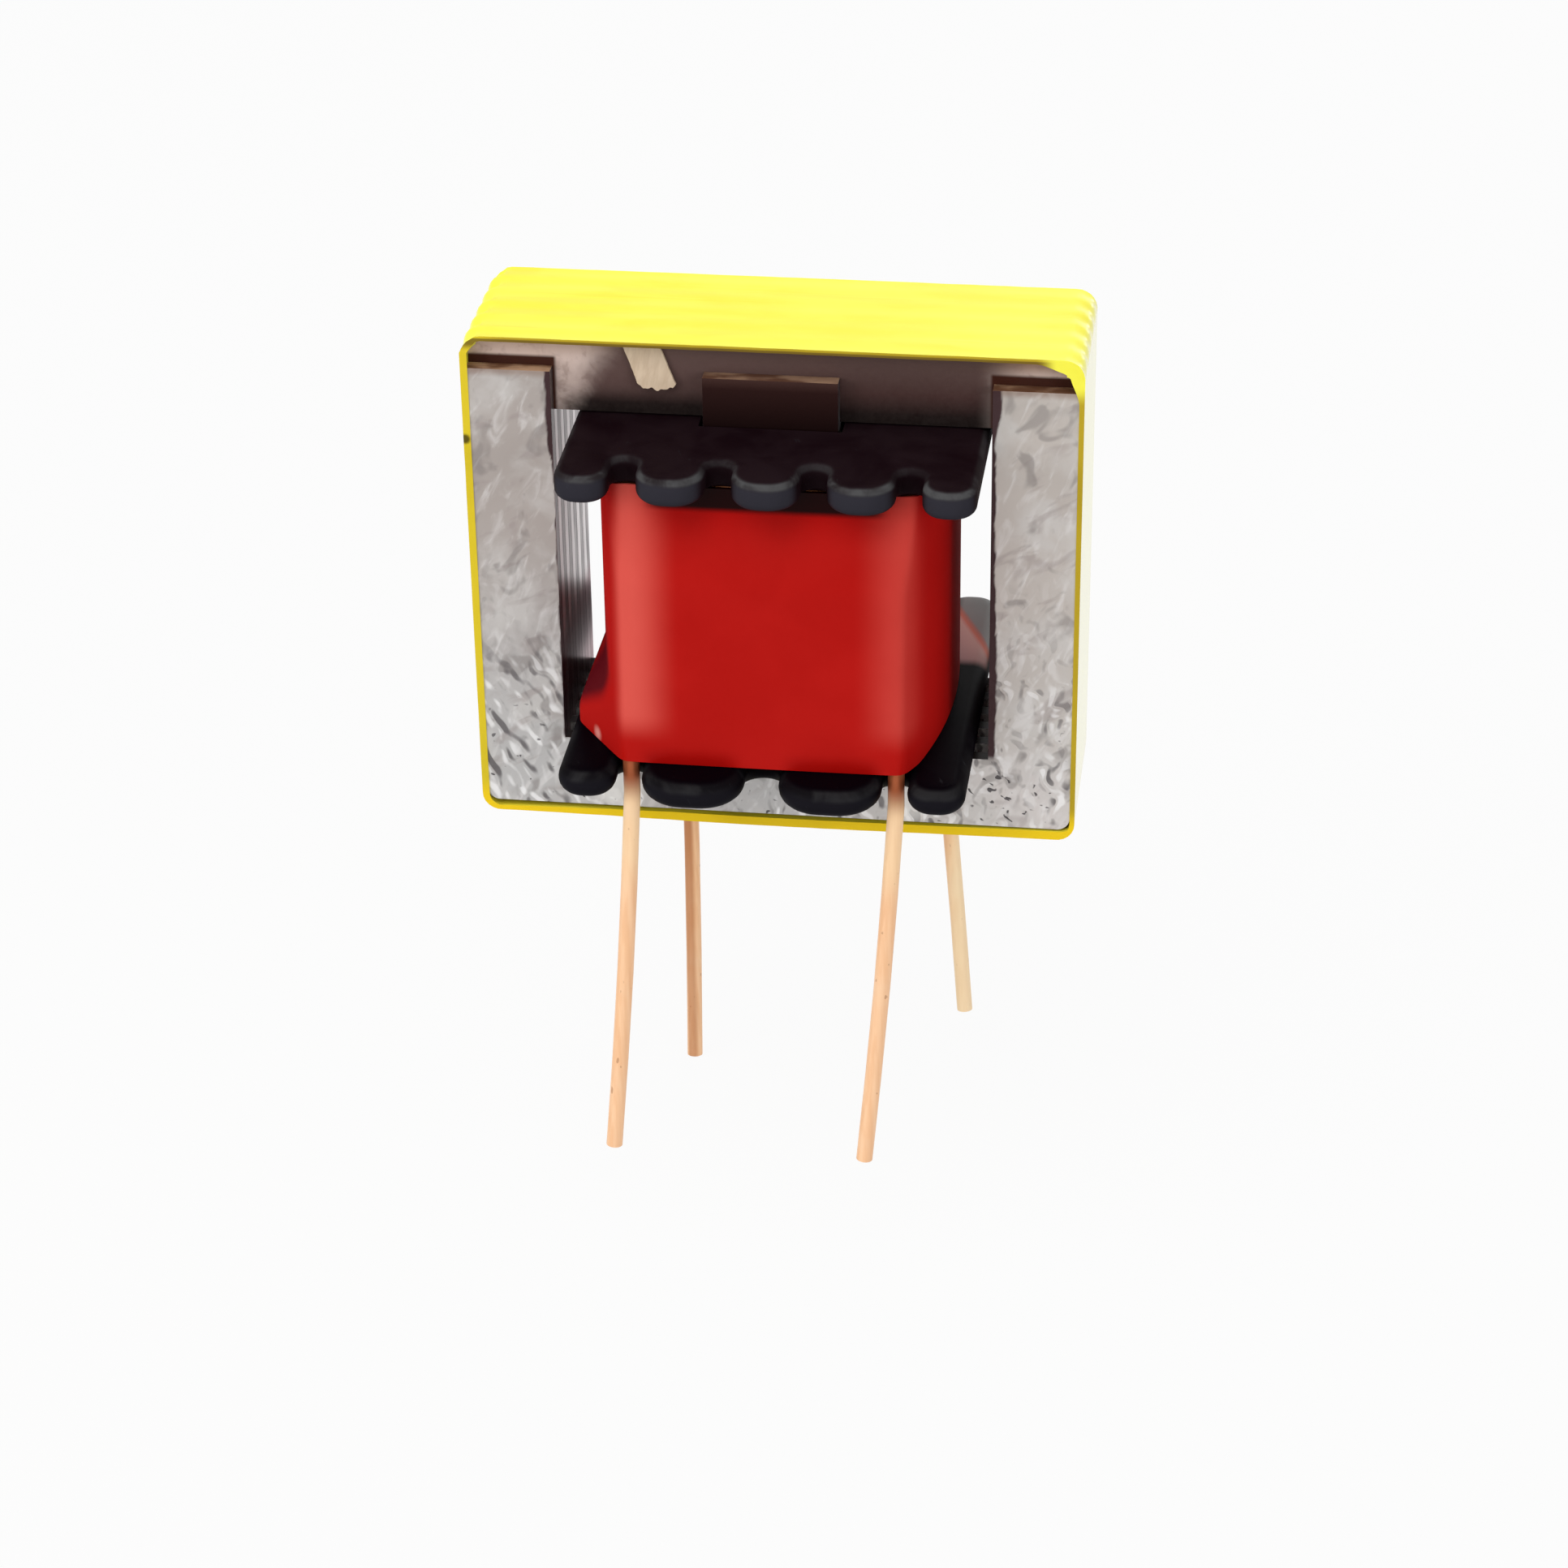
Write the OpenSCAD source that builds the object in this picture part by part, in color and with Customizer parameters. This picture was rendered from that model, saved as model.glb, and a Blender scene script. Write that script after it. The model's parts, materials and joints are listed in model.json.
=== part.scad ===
// Small audio choke on a 14 mm interleaved E core.
// The underside of the core band is z = 0, the leads run below it, the front faces -Y.

/* [Core] */
// Width of one E sheet
core_w = 14; // [12:0.1:18]
// Height of the interleaved stack
core_h = 12; // [10:0.1:16]
// Width of each outer leg
leg_w = 1.95; // [1.5:0.05:2.3]
// Width of the middle tongue
tongue_w = 3.1; // [2:0.1:4]
// Width of the yoke that joins the legs
yoke_w = 1.8; // [1.2:0.05:2.4]
// How far the leg tips stop short of the opposite edge of the stack
leg_short = 0.7; // [0.3:0.05:1.2]
// Sheet thickness
sheet_t = 0.35; // [0.25:0.01:0.5]
// Oxide and varnish gap between sheets
sheet_gap = 0.02; // [0.01:0.01:0.05]
// Number of sheets, odd so that both outer sheets stand the same way up
sheet_count = 11; // [7:2:15]
// Corner radius of the yoke
sheet_corner_r = 0.3; // [0.1:0.05:0.6]

/* [Core band] */
// Thickness of the yellow band wound round the core
band_t = 0.12; // [0.08:0.01:0.25]
// Slack between the band and the underside of the core
band_slack = 0.15; // [0.05:0.01:0.3]
// How far the band dips between the sheets that hold it up
band_dip = 0.06; // [0.02:0.01:0.07]
// Width of the insulation tail that shows below the band
tail_w = 0.86; // [0.5:0.02:1.5]
// Length of the tail
tail_len = 1.05; // [0.6:0.05:1.4]
// Thickness of the tail
tail_t = 0.08; // [0.04:0.01:0.15]
// Sideways drift of the tail over its length
tail_drift = 0.36; // [0:0.02:0.6]
// Distance from the left leg to the middle of the tail's top
tail_inset = 2.06; // [1:0.02:2.4]

/* [Bobbin] */
// Wall of the tube that the core tongue passes through
bobbin_wall = 0.45; // [0.3:0.05:0.6]
// Clearance between the tube and the tongue, all round
bore_clear = 0.1; // [0.05:0.01:0.2]
// Clearance between the bobbin's ends and the yokes
bobbin_clear = 0.05; // [0.02:0.01:0.15]
// Clearance between the flanges and the outer legs
flange_side_clear = 0.3; // [0.1:0.05:0.5]
// Flange thickness
flange_t = 0.7; // [0.5:0.05:1]
// How far the flanges stand out from the core's faces
flange_reach = 3.05; // [2.6:0.05:4]
// Corner radius of the lobes of the upper flange
top_lobe_r = 0.7; // [0.2:0.05:0.8]
// Corner radius of the lobes of the lower flange
low_lobe_r = 1; // [0.2:0.05:1.1]
// How far the upper flange is moulded off centre, to the right
top_flange_shift = 0.2; // [0:0.01:0.24]
// Width of the notches in the upper flange
top_notch_w = 0.6; // [0.4:0.05:0.8]
// Depth of the notches in the upper flange
top_notch_depth = 1.2; // [0.9:0.05:1.5]
// Spacing of the notches in the upper flange
top_notch_pitch = 2.15; // [1.8:0.05:2.2]
// Width of the middle notch in the lower flange
middle_notch_w = 0.8; // [0.5:0.05:1.2]
// How far the two middle lobes of the lower flange stand out past the others
middle_lobe_extra = 0.3; // [0.1:0.05:0.6]

/* [Windings] */
// Distance from the flange's side edge to the coil
coil_side_inset = 0.72; // [0.66:0.02:1.2]
// Distance from the flange's front edge to the coil
coil_front_inset = 1.4; // [1.2:0.05:1.6]
// How far the coil's sides bulge past its corners
coil_bulge = 0.5; // [0.3:0.05:0.8]
// Share of the room between tube and coil side that the first winding fills
inner_share = 0.26; // [0.15:0.01:0.28]
// Thickness of the tape between the two windings
interlayer_t = 0.06; // [0.04:0.01:0.1]
// Clearance between the layers and at the flanges
coil_clear = 0.02; // [0.01:0.01:0.04]
// Thickness of the red tape round the coil
tape_t = 0.08; // [0.05:0.01:0.12]
// How far the tape's lower corner flares out from the coil
flare_reach = 0.5; // [0.2:0.02:0.56]
// Height of the flare above the lower flange
flare_h = 1.7; // [1:0.1:3]
// Distance of the flare from the middle of the coil, front to back
flare_y = 2.4; // [1.5:0.1:2.6]

/* [Leads] */
// Diameter of the lead wires
lead_d = 0.4; // [0.3:0.01:0.6]
// Distance between the two leads of one side
lead_pitch = 6.2; // [5.6:0.1:6.6]
// Clearance of a lead in its notch
lead_clear = 0.1; // [0.08:0.01:0.2]
// Length of lead that lies under the red tape
lead_tuck = 4.5; // [2:0.1:6]
// How far a lead swings out from the coil before it enters its notch
lead_kick = 0.2; // [0.05:0.05:0.4]
// How far below the lower flange a lead bends towards its tip
lead_drop = 0.25; // [0.22:0.01:0.6]
// Front left tip: outward along X, outward along Y, below the seat
front_left_tip = [0.58, 0.87, 7.53]; // [-1:0.01:12]
// Front right tip: outward along X, outward along Y, below the seat
front_right_tip = [-0.67, 0.87, 7.49]; // [-1:0.01:12]
// Rear left tip: outward along X, outward along Y, below the seat
rear_left_tip = [-0.22, -1.52, 9.78]; // [-2:0.01:12]
// Rear right tip: outward along X, outward along Y, below the seat
rear_right_tip = [1.04, -1.32, 8.03]; // [-2:0.01:12]

/* [Hidden] */
$fn = 48;
// $fn of the round parts inside a hull, and of the wide arcs of the coil
hull_fn = 32;
coil_fn = 144;
// overshoot of a cut
eps = 0.01;
// largest corner radius of a lobe, as a share of its width
lobe_round = 0.45;

sheet_pitch = sheet_t + sheet_gap;
stack_d = sheet_count * sheet_pitch - sheet_gap;
core_z0 = band_t + band_slack;
core_z1 = core_z0 + core_h;
sheet_h = core_h - leg_short;
core_face_y = stack_d / 2;

bobbin_z0 = core_z0 + yoke_w + bobbin_clear;
bobbin_z1 = core_z1 - yoke_w - bobbin_clear;
flange_w = core_w - 2 * leg_w - 2 * flange_side_clear;
flange_y = core_face_y + flange_reach;
bore_w = tongue_w + 2 * bore_clear;
bore_d = stack_d + 2 * bore_clear;
tube_w = bore_w + 2 * bobbin_wall;
tube_d = bore_d + 2 * bobbin_wall;

coil_z0 = bobbin_z0 + flange_t + coil_clear;
coil_z1 = bobbin_z1 - flange_t - coil_clear;
coil_h = coil_z1 - coil_z0;
coil_w = flange_w - 2 * coil_side_inset;
coil_d = 2 * (flange_y - coil_front_inset);
inner_build = inner_share * (coil_w - tube_w) / 2;
inner_w = tube_w + 2 * coil_clear + 2 * inner_build;
inner_d = tube_d + 2 * coil_clear + 2 * inner_build;
layer_w = inner_w + 2 * coil_clear + 2 * interlayer_t;
layer_d = inner_d + 2 * coil_clear + 2 * interlayer_t;
inner_corner_r = inner_build / 2;

lead_r = lead_d / 2;
// the wire swells a touch where it is bent
bend_swell = 1.04;
bend_r = lead_r * bend_swell;
lead_top_y = coil_d / 2 + coil_clear + lead_r;
lead_exit_y = lead_top_y + lead_kick;
lead_exit_z = bobbin_z0 + flange_t;
lead_elbow_z = bobbin_z0 - lead_drop;
lead_notch_w = lead_d + 2 * lead_clear;
lead_notch_y = lead_exit_y - lead_r - lead_clear;

lamination_nodes = [for (i = [1 : sheet_count]) str("lamination_", i < 10 ? "0" : "", i)];

// Square centred on the origin with round corners
module round_square(w, h, r) {
    square([w - 2 * r, h], center = true);
    square([w, h - 2 * r], center = true);
    for (sx = [-1, 1], sy = [-1, 1])
        translate([sx * (w / 2 - r), sy * (h / 2 - r)]) circle(r);
}

// Extrudes an outline drawn in X and Z from y0 towards the back
module upright(y0, depth) {
    translate([0, y0 + depth, 0]) rotate([90, 0, 0]) linear_extrude(depth) children();
}

// Outline of one E with its yoke at the bottom, standing on z = 0
module e_outline() {
    window_w = (core_w - tongue_w) / 2 - leg_w;
    difference() {
        union() {
            translate([0, sheet_h / 2]) round_square(core_w, sheet_h, sheet_corner_r);
            translate([-core_w / 2, sheet_h / 2]) square([core_w, sheet_h / 2]);
        }
        for (side = [-1, 1])
            translate([side * (tongue_w + window_w) / 2 - window_w / 2, yoke_w])
                square([window_w, sheet_h]);
    }
}

// Sheets stand yoke down and yoke up by turns, the first one yoke down
module lamination(i) {
    y0 = -core_face_y + (i - 1) * sheet_pitch;
    color(i % 2 == 1 ? "silver" : "darkgray")
        upright(y0, sheet_t)
            translate([0, i % 2 == 1 ? core_z0 : core_z1])
                mirror([0, i % 2 == 1 ? 0 : 1]) e_outline();
}

// One turn of the band in X and Z, its top lowered by dip
module band_ring(dip) {
    inner_h = core_z1 - dip - band_t;
    difference() {
        translate([0, inner_h / 2 + band_t])
            round_square(core_w + 2 * band_t, inner_h + 2 * band_t, sheet_corner_r + band_t);
        translate([0, inner_h / 2 + band_t]) round_square(core_w, inner_h, sheet_corner_r);
    }
}

// The band rests on the yoke-up sheets and dips over the leg tips between them
module core_band() {
    color("yellow")
        for (i = [1 : sheet_count]) {
            y0 = i == 1 ? -core_face_y : -core_face_y + (i - 1) * sheet_pitch - sheet_gap / 2;
            y1 = i == sheet_count ? core_face_y : -core_face_y + i * sheet_pitch - sheet_gap / 2;
            upright(y0, y1 - y0) band_ring(i % 2 == 1 ? band_dip : 0);
        }
}

// Loose end of insulation lying on the second sheet, its top tucked under the band
module insulation_tail() {
    top_z = core_z1 - band_dip - coil_clear;
    color("wheat")
        upright(-core_face_y + sheet_pitch - tail_t, tail_t)
            translate([leg_w + tail_inset - core_w / 2, top_z])
                polygon([
                    [-tail_w / 2, 0], [tail_w / 2, 0],
                    [tail_w / 2 + tail_drift, -tail_len], [-tail_w / 2 + tail_drift, -tail_len]
                ]);
}

// One lobe between two x positions, from the middle line to y1, its front corners round
module lobe(x0, x1, y1, corner_r) {
    r = min(corner_r, lobe_round * (x1 - x0));
    translate([x0, 0]) square([x1 - x0, y1 - r]);
    translate([x0 + r, 0]) square([x1 - x0 - 2 * r, y1]);
    for (x = [x0 + r, x1 - r])
        translate([x, y1 - r]) circle(r);
}

// One half of a flange: lobes between notches, each notch [x, width], with round inner ends at notch_y
module half_flange(notches, notch_y, reaches, corner_r) {
    n = len(notches);
    for (k = [0 : n]) {
        x0 = k == 0 ? -flange_w / 2 : notches[k - 1][0] + notches[k - 1][1] / 2;
        x1 = k == n ? flange_w / 2 : notches[k][0] - notches[k][1] / 2;
        lobe(x0, x1, reaches[k], corner_r);
    }
    difference() {
        translate([-flange_w / 2 + eps, 0])
            square([flange_w - 2 * eps, notch_y + max([for (c = notches) c[1]]) / 2]);
        for (c = notches) {
            translate([c[0], notch_y + c[1] / 2]) circle(c[1] / 2);
            translate([c[0] - c[1] / 2, notch_y + c[1] / 2]) square([c[1], flange_y]);
        }
    }
}

module flange(notches, notch_y, reaches, corner_r) {
    linear_extrude(flange_t) {
        half_flange(notches, notch_y, reaches, corner_r);
        mirror([0, 1]) half_flange(notches, notch_y, reaches, corner_r);
    }
}

module bobbin() {
    top_notches = [for (k = [-1.5 : 1.5]) [k * top_notch_pitch, top_notch_w]];
    low_notches = [
        [-lead_pitch / 2, lead_notch_w], [0, middle_notch_w], [lead_pitch / 2, lead_notch_w]
    ];
    low_reaches = [for (extra = [0, 1, 1, 0]) flange_y + extra * middle_lobe_extra];
    top_reaches = [for (k = [0 : 4]) flange_y];
    color([0.16, 0.16, 0.18])
        difference() {
            union() {
                translate([0, 0, bobbin_z0])
                    flange(low_notches, lead_notch_y, low_reaches, low_lobe_r);
                translate([top_flange_shift, 0, bobbin_z1 - flange_t])
                    flange(top_notches, flange_y - top_notch_depth, top_reaches, top_lobe_r);
                translate([-tube_w / 2, -tube_d / 2, bobbin_z0])
                    cube([tube_w, tube_d, bobbin_z1 - bobbin_z0]);
            }
            translate([-bore_w / 2, -bore_d / 2, bobbin_z0 - eps])
                cube([bore_w, bore_d, bobbin_z1 - bobbin_z0 + 2 * eps]);
        }
}

// Outline of the finished coil grown by grow: flat at the front and back, bulging at the sides
module coil_outline(grow) {
    w = coil_w / 2 + grow;
    d = coil_d / 2 + grow;
    side_r = (coil_bulge ^ 2 + d ^ 2) / (2 * coil_bulge);
    intersection() {
        square([2 * w, 2 * d], center = true);
        translate([w - side_r, 0]) circle(side_r, $fn = coil_fn);
        translate([side_r - w, 0]) circle(side_r, $fn = coil_fn);
    }
}

// Raises an outline from the lower flange to the upper one
module wound() {
    translate([0, 0, coil_z0]) linear_extrude(coil_h) children();
}

module inner_winding() {
    color([0.72, 0.4, 0.2])
        wound() difference() {
            round_square(inner_w, inner_d, inner_corner_r);
            square([tube_w + 2 * coil_clear, tube_d + 2 * coil_clear], center = true);
        }
}

module interlayer_tape() {
    color("khaki")
        wound() difference() {
            round_square(layer_w, layer_d, inner_corner_r);
            round_square(inner_w + 2 * coil_clear, inner_d + 2 * coil_clear, inner_corner_r);
        }
}

module outer_winding() {
    color([0.78, 0.45, 0.24])
        wound() difference() {
            coil_outline(0);
            round_square(layer_w + 2 * coil_clear, layer_d + 2 * coil_clear, inner_corner_r);
        }
}

// A rod between two points
module rod(a, b, r) {
    v = b - a;
    translate(a)
        rotate([0, acos(v[2] / norm(v)), atan2(v[1], v[0])])
            cylinder(h = norm(v), r = r);
}

// Where a lead starts under the tape, turns down into its notch, bends again below it, and ends
function lead_top(sx, sy) = [sx * lead_pitch / 2, sy * lead_top_y, lead_exit_z + lead_tuck];
function lead_exit(sx, sy) = [sx * lead_pitch / 2, sy * lead_exit_y, lead_exit_z];
function lead_elbow(sx, sy) = [sx * lead_pitch / 2, sy * lead_exit_y, lead_elbow_z];
function lead_tip(sx, sy, tip) =
    [sx * (lead_pitch / 2 + tip[0]), sy * (lead_exit_y + tip[1]), -tip[2]];

module lead(sx, sy, tip) {
    color([0.92, 0.62, 0.42]) {
        rod(lead_top(sx, sy), lead_exit(sx, sy), lead_r);
        translate(lead_exit(sx, sy)) sphere(bend_r);
        rod(lead_exit(sx, sy), lead_elbow(sx, sy), lead_r);
        translate(lead_elbow(sx, sy)) sphere(bend_r);
        rod(lead_elbow(sx, sy), lead_tip(sx, sy, tip), lead_r);
    }
}

module lead_front_left() { lead(-1, -1, front_left_tip); }
module lead_front_right() { lead(1, -1, front_right_tip); }
module lead_rear_left() { lead(-1, 1, rear_left_tip); }
module lead_rear_right() { lead(1, 1, rear_right_tip); }

// The coil grown by grow, from z0 to z1
module coil_post(grow, z0, z1) {
    translate([0, 0, z0]) linear_extrude(z1 - z0) coil_outline(grow);
}

// A tucked lead grown by grow, up to rise above its exit and drawn out past the edge of the tape
module tucked_lead(sx, sy, grow, rise) {
    a = lead_exit(sx, sy);
    along = (lead_top(sx, sy) - a) / lead_tuck;
    rod(a - lead_d * along, a + rise * along, lead_r + grow, $fn = hull_fn);
}

// The lower part of the coil's front half, drawn out over the front left lead to the flare
module flare(grow, low_z) {
    hull() {
        intersection() {
            coil_post(grow, low_z, coil_z0 + flare_h);
            translate([-core_w / 2, -flange_y, low_z]) cube([core_w, flange_y, lead_d + flare_h]);
        }
        tucked_lead(-1, -1, grow, min(flare_h, lead_tuck));
        translate([lead_r - flare_reach - coil_w / 2, -flare_y, low_z])
            cylinder(h = flare_h / 2, r = lead_r + grow, $fn = hull_fn);
    }
}

// Everything within a taut wrap round the coil and the leads, flared at the lower front left corner
module wrap(grow) {
    low_z = coil_z0 - lead_d;
    hull() {
        coil_post(grow, low_z, coil_z1 + lead_d);
        for (sx = [-1, 1], sy = [-1, 1]) tucked_lead(sx, sy, grow, lead_tuck);
    }
    flare(grow, low_z);
}

module winding_tape() {
    color("firebrick")
        intersection() {
            difference() {
                wrap(coil_clear + tape_t);
                wrap(coil_clear);
            }
            translate([-core_w / 2, -flange_y, coil_z0]) cube([core_w, 2 * flange_y, coil_h]);
        }
}

for (i = [1 : sheet_count])
    lamination(i);
bobbin();
inner_winding();
interlayer_tape();
outer_winding();
winding_tape();
core_band();
insulation_tail();
lead_front_left();
lead_front_right();
lead_rear_left();
lead_rear_right();
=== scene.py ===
import json
import math

import bmesh
import bpy
import numpy as np
from mathutils import Matrix, Vector


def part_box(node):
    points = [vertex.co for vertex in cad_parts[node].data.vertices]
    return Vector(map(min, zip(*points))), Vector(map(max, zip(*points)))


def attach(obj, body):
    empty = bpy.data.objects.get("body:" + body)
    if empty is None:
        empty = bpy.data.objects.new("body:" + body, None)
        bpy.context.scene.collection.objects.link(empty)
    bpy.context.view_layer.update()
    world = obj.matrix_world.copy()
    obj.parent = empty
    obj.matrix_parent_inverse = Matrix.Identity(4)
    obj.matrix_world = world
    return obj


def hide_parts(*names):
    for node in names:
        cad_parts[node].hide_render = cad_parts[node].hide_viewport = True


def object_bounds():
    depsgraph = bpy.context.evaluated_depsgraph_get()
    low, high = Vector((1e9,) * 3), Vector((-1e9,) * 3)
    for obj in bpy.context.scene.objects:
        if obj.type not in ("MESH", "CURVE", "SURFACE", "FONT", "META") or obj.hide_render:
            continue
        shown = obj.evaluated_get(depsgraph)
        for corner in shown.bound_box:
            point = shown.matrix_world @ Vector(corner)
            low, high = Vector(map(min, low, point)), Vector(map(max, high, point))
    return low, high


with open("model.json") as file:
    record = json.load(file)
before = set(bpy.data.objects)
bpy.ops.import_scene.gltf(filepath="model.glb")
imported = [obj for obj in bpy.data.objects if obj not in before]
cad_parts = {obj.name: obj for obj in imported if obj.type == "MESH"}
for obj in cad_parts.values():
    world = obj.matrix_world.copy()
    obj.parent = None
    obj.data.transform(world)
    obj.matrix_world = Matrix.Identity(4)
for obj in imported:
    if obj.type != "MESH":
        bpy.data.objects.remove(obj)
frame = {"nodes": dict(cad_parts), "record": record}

mm = 0.001
weldGap, sameSpot = 1e-6, 1e-8          # m, for the nodes' points and for the points made here
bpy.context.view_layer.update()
print("frame loaded,", len(frame["nodes"]), "nodes")


# the camera stands where the photo was taken
view = {
    "place": (12.252, -89.224, 51.391),     # mm
    "forward": (-0.11893, 0.86014, -0.49600),
    "up": (-0.05389, 0.49322, 0.86824),     # leans a little, as the photo does
    "lens": 97.86,
    "sensor": 36.0,
    "near": 1, "far": 5000,                 # mm
}


def addCamera():
    forward = Vector(view["forward"]).normalized()
    right = forward.cross(Vector(view["up"])).normalized()
    up = right.cross(forward)
    data = bpy.data.cameras.new("photoCamera")
    data.lens, data.sensor_width = view["lens"], view["sensor"]
    data.clip_start, data.clip_end = view["near"] * mm, view["far"] * mm
    camera = bpy.data.objects.new("photoCamera", data)
    turn = Matrix((right, up, -forward)).transposed().to_4x4()
    camera.matrix_world = Matrix.Translation(Vector(view["place"]) * mm) @ turn
    bpy.context.collection.objects.link(camera)
    bpy.context.scene.camera = camera


addCamera()
print("camera set")


class Flow:
    # a shader socket that can be used in Python sums
    def __init__(self, socket):
        self.socket = socket

    def make(self, kind, settings=None, sockets=None, out=0):
        # any node: its settings first, then values or links for its sockets
        node = self.socket.id_data.nodes.new(kind)
        for name, value in (settings or {}).items():
            if name == "stops":
                setStops(node.color_ramp, value)
            else:
                setattr(node, name, value)
        for key, value in (sockets or {}).items():
            plug(node.inputs[key], value)
        return Flow(node.outputs[out])

    def sum(self, operation, a, b):
        return self.make("ShaderNodeMath", {"operation": operation}, {0: a, 1: b})

    def __add__(self, other):
        return self.sum("ADD", self, other)

    def __radd__(self, other):
        return self.sum("ADD", other, self)

    def __sub__(self, other):
        return self.sum("SUBTRACT", self, other)

    def __rsub__(self, other):
        return self.sum("SUBTRACT", other, self)

    def __mul__(self, other):
        return self.sum("MULTIPLY", self, other)

    def __rmul__(self, other):
        return self.sum("MULTIPLY", other, self)

    def __abs__(self):
        return self.sum("ABSOLUTE", self, 0.0)

    def step(self, low, high):
        # 0 at low, 1 at high, smooth between; low may be the larger
        return self.make("ShaderNodeMapRange", {"interpolation_type": "SMOOTHSTEP"},
                         {"Value": self, "From Min": low, "From Max": high})

    def ramp(self, low, high, stops):
        # a colour ramp from low to high
        share = self.make("ShaderNodeMapRange", None, {"Value": self, "From Min": low, "From Max": high})
        return share.make("ShaderNodeValToRGB", {"stops": stops}, {0: share})

    def noise(self, scale, detail=3.0, roughness=0.55, warp=0.0):
        return self.make("ShaderNodeTexNoise", None, {"Vector": self, "Scale": scale, "Detail": detail,
                                                      "Roughness": roughness, "Distortion": warp})

    def stretch(self, scale, turn=(0, 0, 0), shift=(0, 0, 0)):
        # turned first, then scaled along the turned axes
        return self.make("ShaderNodeMapping", {"vector_type": "TEXTURE"}, {
            "Vector": self, "Scale": [1 / s for s in scale], "Location": shift,
            "Rotation": [math.radians(a) for a in turn]})

    def away(self, spot):
        # distance from a spot
        return self.make("ShaderNodeVectorMath", {"operation": "DISTANCE"}, {0: self, 1: spot}, "Value")

    def split(self):
        node = self.make("ShaderNodeSeparateXYZ", None, {0: self}).socket.node
        return [Flow(out) for out in node.outputs]

    def mix(self, a, b):
        # from colour a to colour b by this factor
        return self.make("ShaderNodeMix", {"data_type": "RGBA"}, {0: self, 6: a, 7: b}, 2)

    def bump(self, strength, distance):
        return self.make("ShaderNodeBump", None, {
            "Height": self, "Strength": strength, "Distance": distance * mm})


def setStops(ramp, stops):
    for index, (spot, colour) in enumerate(stops):
        stop = ramp.elements[index] if index < 2 else ramp.elements.new(spot)
        stop.position, stop.color = spot, (*colour, 1.0)


def plug(socket, value):
    if isinstance(value, Flow):
        socket.id_data.links.new(value.socket, socket)
    elif socket.type == "RGBA" and len(value) == 3:
        socket.default_value = (*value, 1.0)
    else:
        socket.default_value = value


def newFinish(name):
    # a material, its place in millimetres and its outward normal
    material = bpy.data.materials.new(name)
    material.use_nodes = True
    coords = material.node_tree.nodes.new("ShaderNodeTexCoord")
    place = Flow(coords.outputs["Object"])
    place = place.make("ShaderNodeVectorMath", {"operation": "SCALE"}, {0: place, "Scale": 1 / mm})
    return material, place, Flow(coords.outputs["Normal"])


def dress(material, **values):
    shader = material.node_tree.nodes["Principled BSDF"]
    names = {"color": "Base Color", "roughness": "Roughness", "metallic": "Metallic", "normal": "Normal",
             "specular": "Specular IOR Level", "coat": "Coat Weight"}
    for key, value in values.items():
        plug(shader.inputs[names[key]], value)
    return material


# rolled sheet steel: smeared grey faces, dented at the foot with painted shade and highlights on the
# dents' flanks, brown at the top of the stack, with painted shadows along edges and a painted sheen at
# the foot
steel = {
    "legEdge": 5.05, "tip": 11.57, "tongue": 1.55,          # mm
    "upper": (0.425, 0.380, 0.355), "foot": (0.510, 0.500, 0.494),
    "right": (0.555, 0.51, 0.47), "rightFoot": (0.80, 0.75, 0.75),
    "cloud": (0.60, 0.58, 0.56), "feather": (0.76, 0.74, 0.73),
    "smear": (0.335, 0.285, 0.275), "smudge": (0.25, 0.225, 0.215),
    # painted shade and painted highlight for the dents' flanks
    "dentShade": (0.115, 0.105, 0.110), "dentHighlight": (0.92, 0.91, 0.91),
    "pit": (0.030, 0.026, 0.032), "pitsAt": (5.35, -2.0, 1.0),          # mm
    "odd": ((0.07, 0.058, 0.063), (0.42, 0.39, 0.40)),                  # the cut edges, dark and light
    "even": ((0.58, 0.55, 0.56), (0.96, 0.95, 0.95)),
    # painted shade and dark reflection, low on the cut edges
    "lowEdgeShade": (0.26, 0.085, 0.115),
    "sheared": ((0.115, 0.052, 0.030), (0.40, 0.25, 0.165)),            # the tips, dark and light
    "tongueEnd": (0.085, 0.040, 0.030), "lowEnd": (0.006, 0.003, 0.003),
}
# the yoke of a sheet that stands yoke up
upperYoke = {
    "varnish": (0.71, 0.555, 0.495), "under": (0.29, 0.165, 0.105), "mottle": (0.30, 0.20, 0.165),
    "darkTone": [(0.0, (0.002, 0.001, 0.001)), (0.16, (0.008, 0.004, 0.004)),
              (0.42, (0.055, 0.026, 0.024)), (0.92, (0.115, 0.070, 0.063))],
    # painted contact shadow with rust, where the next sheet's legs end
    "darkToneLeft": (0.18, 0.115, 0.105), "rustAndContactShadow": (0.044, 0.012, 0.007),
}
# the tips and legs of a sheet that stands yoke down
lowerTips = {
    "tongue": [(0.0, (0.006, 0.002, 0.002)), (0.8, (0.024, 0.009, 0.008)), (1.0, (0.055, 0.026, 0.022))],
    # painted shadow along the legs' inner edges
    "leg": (0.27, 0.175, 0.13), "edgeShadow": (0.046, 0.022, 0.025),
    # painted sheen on the foot beside the front leads
    "footSheen": (0.93, 0.92, 0.89), "footSheenAt": ((-3.75, -2.03, 0.75), (3.20, -2.03, 0.75)),      # mm
}


def flanks(vector, shift, warp):
    # the slope of a noise along a shift: above 0 on one flank of a dent, below on the other
    moved = vector.stretch((1, 1, 1), shift=shift)
    return vector.noise(1.0, 1.0, 0.4, warp) - moved.noise(1.0, 1.0, 0.4, warp)


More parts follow.
